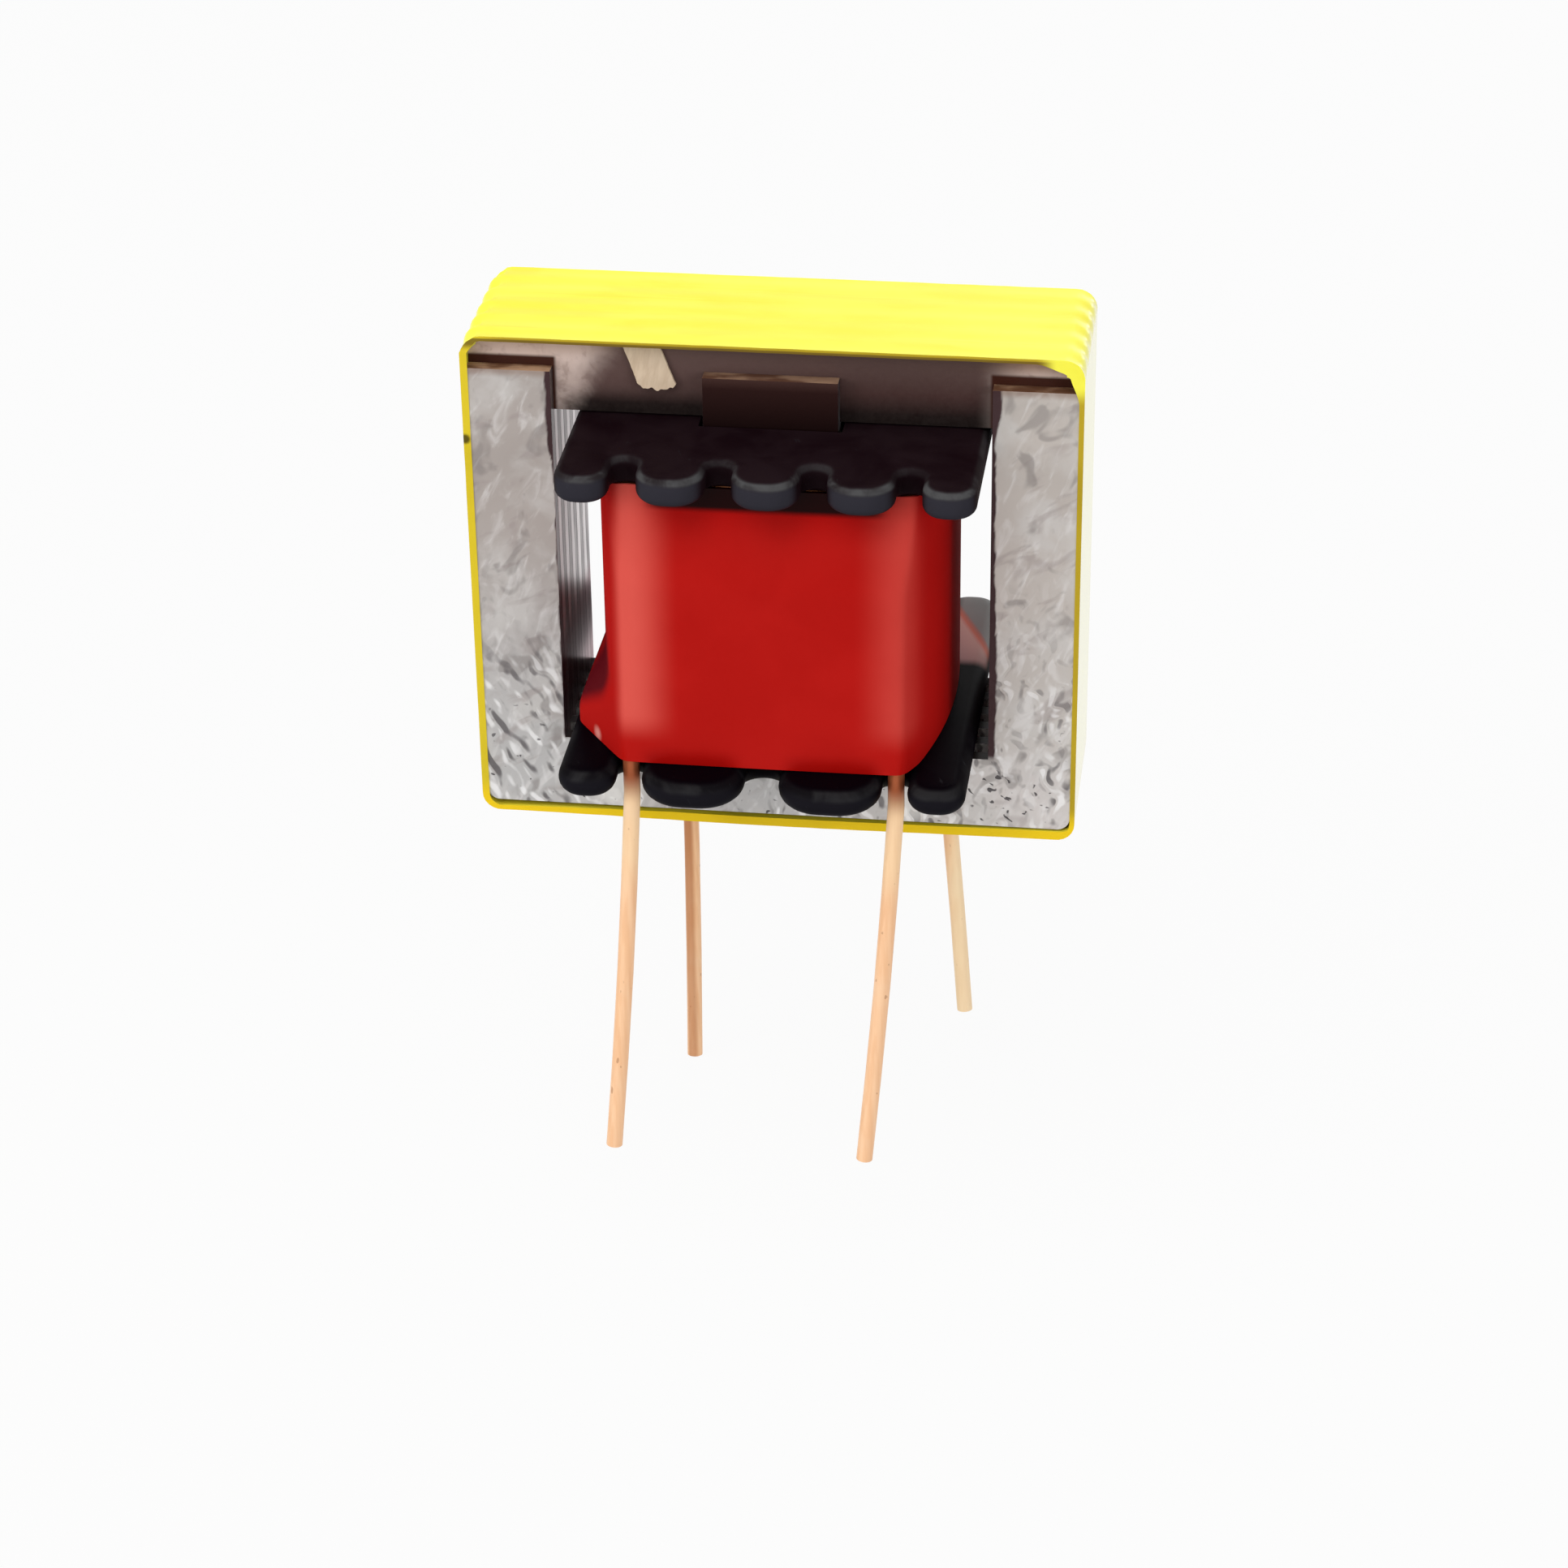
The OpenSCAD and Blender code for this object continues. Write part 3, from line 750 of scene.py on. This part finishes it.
def sweepTree():
    tree, given, add = newTree("leadSweep", (
        ("Path", "Geometry"), ("Wire Radius", "Float"), ("Bend Radius", "Float"), ("Step", "Float"),
        ("Wobble", "Float"), ("Sides", "Int"), ("Finish", "Material")), "Wire")
    curve = add("GeometryNodeMeshToCurve", None, {"Mesh": given["Path"]})
    bent = add("GeometryNodeFilletCurve", {"mode": "POLY"}, {
        "Curve": curve, "Radius": given["Bend Radius"], "Limit Radius": True, "Count": wire["bendSteps"]})
    even = add("GeometryNodeResampleCurve", {"mode": "LENGTH"}, {"Curve": bent, "Length": given["Step"]})
    spot = add("GeometryNodeInputPosition")
    noise = add("ShaderNodeTexNoise", None, {
        "Vector": spot, "Scale": wire["wobbleScale"], "Detail": wire["wobbleDetail"]})
    thin = add("ShaderNodeMath", {"operation": "SUBTRACT"}, {0: 1.0, 1: given["Wobble"]})
    sway = add("ShaderNodeMapRange", None, {"Value": noise, "To Min": thin})
    size = add("ShaderNodeMath", {"operation": "MULTIPLY"}, {0: sway, 1: given["Wire Radius"]})
    ring = add("GeometryNodeCurvePrimitiveCircle", None, {"Resolution": given["Sides"], "Radius": 1.0})
    wall = add("GeometryNodeCurveToMesh", None, {
        "Curve": even, "Profile Curve": ring, "Scale": size, "Fill Caps": True})
    real = add("GeometryNodeRealizeInstances", None, {"Geometry": wall})
    done = add("GeometryNodeSetMaterial", None, {"Geometry": real, "Material": given["Finish"]})
    add("NodeGroupOutput", None, {0: done})
    return tree


def bake(holder, tree, values):
    # runs a node tree on an object's mesh and gives back the plain result
    modifier = holder.modifiers.new("build", "NODES")
    modifier.node_group = tree
    for socket in tree.interface.items_tree:
        if socket.item_type == "SOCKET" and socket.in_out == "INPUT" and socket.name in values:
            modifier[socket.identifier] = values[socket.name]
    graph = bpy.context.evaluated_depsgraph_get()
    graph.update()
    mesh = bpy.data.meshes.new_from_object(holder.evaluated_get(graph))
    bpy.data.objects.remove(holder)
    return mesh


def holderFrom(points, closed=False):
    # a bare line of points for a tree to work on
    edges = [(i, i + 1) for i in range(len(points) - 1)] + ([(len(points) - 1, 0)] if closed else [])
    mesh = bpy.data.meshes.new("path")
    mesh.from_pydata([tuple(p) for p in points], edges, [])
    holder = bpy.data.objects.new("path", mesh)
    bpy.context.collection.objects.link(holder)
    return holder


def leadPath(side):
    # from under the tape, through the notch, round the elbow and down to the tip
    low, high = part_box("lead_" + side)
    mount = next(m for m in frame["record"]["mounts"] if m["name"] == "lead_pin_" + side)
    middle, axis = Vector(mount["pos_m"]), Vector(mount["axis"]).normalized()
    radius = mount["dims"]["r_mm"] * mm
    tip = middle + axis * ((low.z + radius * math.hypot(axis.x, axis.y) - middle.z) / axis.z)
    elbow = middle - (tip - middle)
    inward = 1 if side.startswith("front") else -1
    top = Vector((elbow.x, elbow.y + inward * wire["kick"] * mm, high.z - wire["under"] * mm))
    turnDown = Vector((elbow.x, elbow.y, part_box("winding_tape")[0].z))
    bow = Vector(wire["bowTo"]) * wire["bow"] * mm
    bowed = [elbow.lerp(tip, t) + bow * math.sin(math.pi * t) for t in wire["bowAt"]]
    return [top, turnDown, elbow, *bowed, tip], radius


def makeLeads():
    tree = sweepTree()
    for side in ("front_left", "front_right", "rear_left", "rear_right"):
        path, radius = leadPath(side)
        mesh = bake(holderFrom(path), tree, {
            "Wire Radius": radius, "Bend Radius": wire["bend"] * mm, "Step": wire["step"] * mm,
            "Wobble": wire["wobble"], "Sides": wire["sides"], "Finish": finishes["copper"]})
        name = "lead" + side.title().replace("_", "")
        finishMesh(name, mesh, finishes["copper"], "lead_" + side)
        outwards(mesh, wire["sharp"])


makeLeads()
print("leads made")


# red tape round the coil, drawn tight over the leads and flared at its lower front left corner
redTape = {
    "clear": 0.02,          # mm, from the coil
    "film": 0.08,           # mm
    "bulge": 0.5,           # mm, the coil's sides past its corners
    "flareReach": 0.5, "flareHigh": 1.7, "flareDeep": 2.4,    # mm
    "columns": 360, "rows": 80,
    "crowd": 1.25,          # power that crowds the rows towards the lower edge
    "arcPoints": 41, "headings": 1440, "samples": 2880,
    "pastExit": 1.05,       # how far on the leads' slope goes below their exits
    "grazing": 0.02,        # cosine below which a heading says nothing
    "soften": 4,
    "sharp": 50,            # degrees
}


def coilPoints():
    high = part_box("outer_winding")[1]
    w, d, bulge = high.x, high.y, redTape["bulge"] * mm
    radius = (bulge ** 2 + d ** 2) / (2 * bulge)
    points = []
    for t in np.linspace(-1, 1, redTape["arcPoints"]):
        y = d * t
        x = w - radius + math.sqrt(radius ** 2 - y ** 2)
        points += [(x, y), (-x, y)]
    return np.array(points)


def makeRedTape():
    low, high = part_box("winding_tape")
    skin = (redTape["clear"] + redTape["film"]) * mm
    angles = np.linspace(0, 2 * math.pi, redTape["headings"], endpoint=False)
    headings = np.array([np.cos(angles), np.sin(angles)])
    coil = coilPoints()
    path, wireR = leadPath("front_left")
    leadX, topY, exitY = abs(path[0].x), abs(path[0].y), abs(path[1].y)
    topZ, exitZ = path[0].z, path[1].z
    fadeZ = high.z + 2 * wireR
    flareX = wireR - redTape["flareReach"] * mm - coil[:, 0].max()
    flareSpot = np.array([(flareX, -redTape["flareDeep"] * mm)])
    flareTop = low.z + redTape["flareHigh"] * mm
    flareFull = low.z - 2 * wireR + redTape["flareHigh"] * mm / 2

    def reach(points, radius):
        # how far a group of discs reaches along each heading
        return (points @ headings).max(axis=0) + radius

    def leadSpot(z):
        t = min(max((topZ - z) / (topZ - exitZ), 0), redTape["pastExit"])
        return np.array([(leadX, topY + (exitY - topY) * t)])

    def wound(z):
        # the coil with all four leads, seen as a taut loop
        around = np.concatenate([leadSpot(z) * (sx, sy) for sx in (-1, 1) for sy in (-1, 1)])
        plain = reach(coil, 0.0)
        tent = np.maximum(plain, reach(around, wireR))
        share = min(max((z - topZ) / (fadeZ - topZ), 0), 1)
        return (1 - share) * tent + share * plain

    def flare(z):
        # the front half of the coil, drawn out to the flare
        half = np.maximum(reach(coil[coil[:, 1] <= sameSpot], 0.0), reach(-leadSpot(z), wireR))
        share = min(max((z - flareFull) / (flareTop - flareFull), 0), 1)
        return (1 - share) * np.maximum(half, reach(flareSpot, wireR)) + share * half

    def radii(support, spread):
        # distance from the middle to the loop along each column
        share = np.cos(angles[:, None] - spread[None, :])
        share = np.where(share > redTape["grazing"], share, np.nan)
        return np.nanmin(support[:, None] / share, axis=0)

    heights = low.z + (high.z - low.z) * np.linspace(0, 1, redTape["rows"]) ** redTape["crowd"]
    # columns spread evenly along one section
    fine = np.linspace(0, 2 * math.pi, redTape["samples"], endpoint=False)
    middle = radii(wound(heights[redTape["rows"] // 3]), fine)
    line = np.stack([middle * np.cos(fine), middle * np.sin(fine)], -1)
    steps = np.diff(np.vstack([line, line[:1]]), axis=0)
    length = np.concatenate([[0], np.cumsum(np.linalg.norm(steps, axis=1))])
    wanted = np.linspace(0, length[-1], redTape["columns"], endpoint=False)
    spread = np.interp(wanted, length, np.append(fine, 2 * math.pi))
    grid = []
    for z in heights:
        row = radii(wound(z), spread)
        if z < flareTop:
            row = np.maximum(row, radii(flare(z), spread))
        grid.append(row)
    grid = smoothRows(np.array(grid), redTape["soften"], True)
    grid = smoothRows(grid.T, redTape["soften"], False).T
    rays = np.stack([np.cos(spread), np.sin(spread)], -1)

    def shell(extra):
        flat = (grid + extra)[..., None] * rays[None, :, :]
        z = np.repeat(heights[:, None], len(spread), 1)
        return np.concatenate([flat, z[..., None]], -1)

    points, faces = wallFrom(shell(skin), shell(redTape["clear"] * mm), True)
    piece = addPiece("redWindingTape", points, faces, finishes["redTape"], "winding_tape")
    outwards(piece.data, redTape["sharp"])


makeRedTape()
print("red tape made")


# yellow band round the core
band = {
    "film": 0.12, "corner": 0.42,                           # mm
    "lapped": 0.10, "lapLeft": 6.5, "lapLong": 4,           # mm, where the ends lap under the core
    "lip": 0.03, "lipWide": 0.27, "lipLong": 1.0,           # mm, the edge folded over the right corner
    "turned": 0.05,             # mm, the front edge folded in on the left side of the core
    "dip": 0.022,               # mm, over the sheets that stop short
    "pull": 0.13,               # mm, at the corners of those sheets
    "fadeFrom": 1, "fadeLong": 8, "fadeLeast": 0.25,        # mm, the ridges fade to the right
    "sag": 0.05,                # mm, under the core
    "fray": 0.02, "frayWide": 0.5, "fraySmooth": 10,        # mm, along the cut edges
    "columns": 420, "rows": 78, "seed": 4,
    "sharp": 50,                # degrees
}


def roundBox(w, low, high, radius, columns, arcPoints=13):
    # points and normals of a box with round corners, spread evenly, from the middle of its lower side
    arcs = []
    for cx, cz, start in ((w - radius, low + radius, -90), (w - radius, high - radius, 0),
                          (radius - w, high - radius, 90), (radius - w, low + radius, 180)):
        for a in np.radians(np.linspace(start, start + 90, arcPoints)):
            arcs.append((cx + radius * math.cos(a), cz + radius * math.sin(a), math.cos(a), math.sin(a)))
    arcs = np.array([(0, low, 0, -1), *arcs, (0, low, 0, -1)])
    length = np.concatenate([[0], np.cumsum(np.hypot(*np.diff(arcs[:, :2], axis=0).T))])
    wanted = np.linspace(0, length[-1], columns, endpoint=False)
    spots = np.stack([np.interp(wanted, length, arcs[:, k]) for k in range(4)], -1)
    spots[:, 2:] /= np.linalg.norm(spots[:, 2:], axis=1)[:, None]
    return spots


def makeBand():
    low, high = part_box("core_band")
    first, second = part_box("lamination_01"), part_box("lamination_02")
    pitch = second[0].y - first[0].y
    start = (first[0].y + first[1].y) / 2
    x, z, nx, nz = roundBox(high.x, low.z, high.z, band["corner"] * mm, band["columns"]).T
    lip = band["lip"] * mm
    ys = np.concatenate([[low.y - lip, low.y - lip / 10], np.linspace(low.y, high.y, band["rows"])])
    slack = 0.5 + 0.5 * np.cos(math.pi * (ys - start) / pitch)      # 1 over the sheets that stop short
    # shares of the top, the upper corners and the underside, by the way the film faces
    top = np.clip((nz - 0.2) / 0.5, 0, 1)
    corner = np.clip(4 * np.abs(nx * nz) - 0.2, 0, 1) * (nz > 0)
    under = np.clip((-nz - 0.5) * 2, 0, 1)
    fade = np.clip((band["fadeFrom"] * mm - x) / (band["fadeLong"] * mm), 0, 1)
    fade = band["fadeLeast"] + (1 - band["fadeLeast"]) * fade
    inward = slack[:, None] * fade * (top * band["dip"] + corner * band["pull"]) * mm
    sag = under * np.cos(x / high.x * math.pi / 2) ** 2 * band["sag"] * mm
    rng = np.random.default_rng(band["seed"])
    wave = smoothRows(rng.normal(size=(2, band["columns"])), band["fraySmooth"], True)
    wave = wave / np.abs(wave).max() * band["fray"] * mm
    near = np.clip(1 - (ys - low.y) / (band["frayWide"] * mm), 0, 1)
    far = np.clip(1 - (high.y - ys) / (band["frayWide"] * mm), 0, 1)
    y = ys[:, None] + near[:, None] * np.abs(wave[0]) - far[:, None] * np.abs(wave[1])

    def shell(depth):
        off = -(inward + depth) + sag
        return np.stack([x + nx * off, y, z + nz * off], -1)

    lapped = np.clip((x + band["lapLeft"] * mm) / (band["lapLong"] * mm), 0, 1)
    lapped = under * lapped * band["lapped"] * mm
    film = np.tile(band["film"] * mm + lapped, (len(ys), 1))
    # the first two rows are the edge that folds in
    bend = band["corner"] * mm * (1 - math.sqrt(0.5))
    away = np.hypot(x - high.x + bend, z - high.z + bend) / (band["lipLong"] * mm)
    film[:2] += np.clip(1 - away ** 2, 0, 1) ** 2 * band["lipWide"] * mm
    film[:2] += np.clip(-nx, 0, 1) * band["turned"] * mm
    points, faces = wallFrom(shell(0.0), shell(film), True)
    piece = addPiece("yellowCoreBand", points, faces, finishes["yellowTape"], "core_band")
    outwards(piece.data, band["sharp"])


makeBand()
print("band made")


# loose cream end of insulation, torn at the bottom
tail = {
    "film": 0.07, "drift": 0.36, "belly": 0.03,     # mm
    "curl": 0.10, "curlLeft": 1.2, "curlFall": 0.4,     # mm, its share on the left, and the fall of that
    "rounded": 0.10,                                # mm, at the corners of the torn end
    "ragged": 0.035, "raggedSmooth": 1,             # mm, the torn end
    "wavy": 0.014, "wavySmooth": 3,                 # mm, the sides
    "columns": 26, "rows": 30, "seed": 9,
    "sharp": 45,                                    # degrees
}


def makeTail():
    low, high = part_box("insulation_tail")
    rng = np.random.default_rng(tail["seed"])
    across, down = np.linspace(0, 1, tail["columns"]), np.linspace(0, 1, tail["rows"])
    drift = tail["drift"] * mm
    width = high.x - low.x - drift
    torn = smoothRows(rng.normal(size=tail["columns"]), tail["raggedSmooth"], False)
    torn = torn * tail["ragged"] * mm
    sides = smoothRows(rng.normal(size=(2, tail["rows"])), tail["wavySmooth"], False)
    sides = sides * tail["wavy"] * mm
    grid = np.zeros((tail["rows"], tail["columns"], 3))
    for r, t in enumerate(down):
        x0 = low.x + drift * t + sides[0][r] * t
        x1 = low.x + width + drift * t + sides[1][r] * t
        for c, s in enumerate(across):
            length = high.z - low.z + torn[c] - tail["ragged"] * mm
            length = length - tail["rounded"] * mm * (2 * s - 1) ** 4
            curl = tail["curl"] * mm * t ** 2 * (tail["curlLeft"] - tail["curlFall"] * s)
            belly = tail["belly"] * mm * math.sin(math.pi * s) * t
            y = high.y - tail["film"] * mm - curl - belly
            grid[r, c] = (x0 + (x1 - x0) * s, y, high.z - length * t)
    back = grid.copy()
    back[..., 1] += tail["film"] * mm
    points, faces = wallFrom(grid, back, False)
    piece = addPiece("creamTail", points, faces, finishes["cream"], "insulation_tail")
    outwards(piece.data, tail["sharp"])


makeTail()
print("tail made")


# windings: turns of wire laid side by side
turns = {
    "outer": {"node": "outer_winding", "wire": 0.12},                                   # mm
    "inner": {"node": "inner_winding", "wire": 0.09, "corner": 0.25, "points": 56},     # mm
    "sides": 6,
    "sharp": 80,        # degrees
}


def windingTree():
    tree, given, add = newTree("windingTurns", (
        ("Loop", "Geometry"), ("Turns", "Int"), ("Pitch", "Vector"), ("Wire Radius", "Float"),
        ("Sides", "Int"), ("Finish", "Material")), "Winding")
    loop = add("GeometryNodeMeshToCurve", None, {"Mesh": given["Loop"]})
    ring = add("GeometryNodeCurvePrimitiveCircle", None, {
        "Resolution": given["Sides"], "Radius": given["Wire Radius"]})
    turn = add("GeometryNodeCurveToMesh", None, {"Curve": loop, "Profile Curve": ring})
    stack = add("GeometryNodeMeshLine", None, {"Count": given["Turns"], "Offset": given["Pitch"]})
    laid = add("GeometryNodeInstanceOnPoints", None, {"Points": stack, "Instance": turn})
    real = add("GeometryNodeRealizeInstances", None, {"Geometry": laid})
    done = add("GeometryNodeSetMaterial", None, {"Geometry": real, "Material": given["Finish"]})
    add("NodeGroupOutput", None, {0: done})
    return tree


def makeWindings():
    tree = windingTree()
    for name in ("outer", "inner"):
        layer = turns[name]
        low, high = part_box(layer["node"])
        radius = layer["wire"] / 2 * mm
        if name == "outer":
            shape = coilPoints()
            shape = shape[np.argsort(np.arctan2(shape[:, 1], shape[:, 0]))]
        else:
            shape = roundBox(high.x, low.y, high.y, layer["corner"] * mm, layer["points"])[:, :2]
        size = np.array([high.x, high.y])
        shape = shape * (size - radius) / size
        loop = [(px, py, low.z + radius) for px, py in shape]
        count = int((high.z - low.z) / (2 * radius))
        pitch = (high.z - low.z - 2 * radius) / (count - 1)
        mesh = bake(holderFrom(loop, True), tree, {
            "Turns": count, "Pitch": (0, 0, pitch), "Wire Radius": radius, "Sides": turns["sides"],
            "Finish": finishes["enamel"]})
        finishMesh(name + "WindingTurns", mesh, finishes["enamel"], layer["node"])
        outwards(mesh, turns["sharp"])


makeWindings()
print("windings made")


# pale floor, white room and soft lamps
stage = {
    "floorHalf": 1.2,           # m
    "floorGlow": 0.94, "floorTone": 0.5, "floorRough": 0.9, "floorShine": 0.1,
    "skyLight": 0.45,
    "lamps": [   # name, place (mm), aim (mm), size (mm), watts, shine, colour
        ("keySoftbox", (-55, -95, 225), (0, 0, 4), 260, 0.40, 1.0, (1.0, 0.99, 0.97)),
        ("leftStrip", (-150, -120, 60), (0, 0, 5), 90, 0.125, 1.0, (1.0, 1.0, 1.0)),
        ("rightStrip", (150, -120, 60), (0, 0, 5), 90, 0.11, 1.0, (0.97, 0.98, 1.0)),
        ("backFill", (40, 190, 30), (0, 0, 4), 140, 0.13, 0.1, (1.0, 1.0, 1.0)),
    ],
}


def seenRays(nodes):
    # 1 for rays that show the room itself
    rays = nodes.new("ShaderNodeLightPath")
    seen = Flow(rays.outputs["Is Camera Ray"]) + Flow(rays.outputs["Is Glossy Ray"])
    return seen + Flow(rays.outputs["Is Transmission Ray"])


def addFloor():
    half, level = stage["floorHalf"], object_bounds()[0].z
    mesh = bpy.data.meshes.new("floor")
    corners = [(-half, -half, level), (half, -half, level), (half, half, level), (-half, half, level)]
    mesh.from_pydata(corners, [], [(0, 1, 2, 3)])
    floor = bpy.data.objects.new("floor", mesh)
    bpy.context.collection.objects.link(floor)
    material = bpy.data.materials.new("paleFloor")
    material.use_nodes = True
    nodes, links = material.node_tree.nodes, material.node_tree.links
    shader = nodes["Principled BSDF"]
    plug(shader.inputs["Base Color"], [stage["floorTone"]] * 3)
    plug(shader.inputs["Roughness"], stage["floorRough"])
    plug(shader.inputs["Specular IOR Level"], stage["floorShine"])
    seen = seenRays(nodes)
    glow = seen.make("ShaderNodeEmission", None, {"Color": (1, 1, 1), "Strength": 1.0})
    share = seen * stage["floorGlow"]
    both = share.make("ShaderNodeMixShader", None, {0: share, 1: Flow(shader.outputs[0]), 2: glow})
    links.new(both.socket, nodes["Material Output"].inputs["Surface"])
    mesh.materials.append(material)


def addLight():
    world = bpy.data.worlds.new("paleRoom")
    world.use_nodes = True
    bpy.context.scene.world = world
    nodes = world.node_tree.nodes
    strength = stage["skyLight"] + seenRays(nodes) * (1.0 - stage["skyLight"])
    plug(nodes["Background"].inputs["Color"], (1, 1, 1))
    plug(nodes["Background"].inputs["Strength"], strength)
    for name, place, aim, size, watts, shine, colour in stage["lamps"]:
        data = bpy.data.lights.new(name, "AREA")
        data.shape, data.size = "DISK", size * mm
        data.energy, data.specular_factor, data.color = watts, shine, colour
        lamp = bpy.data.objects.new(name, data)
        lamp.location = Vector(place) * mm
        lamp.rotation_euler = (Vector(aim) - Vector(place)).to_track_quat("-Z", "Y").to_euler()
        bpy.context.collection.objects.link(lamp)


addFloor()
addLight()
bpy.context.scene.view_settings.view_transform = "Standard"
print("stage lit")
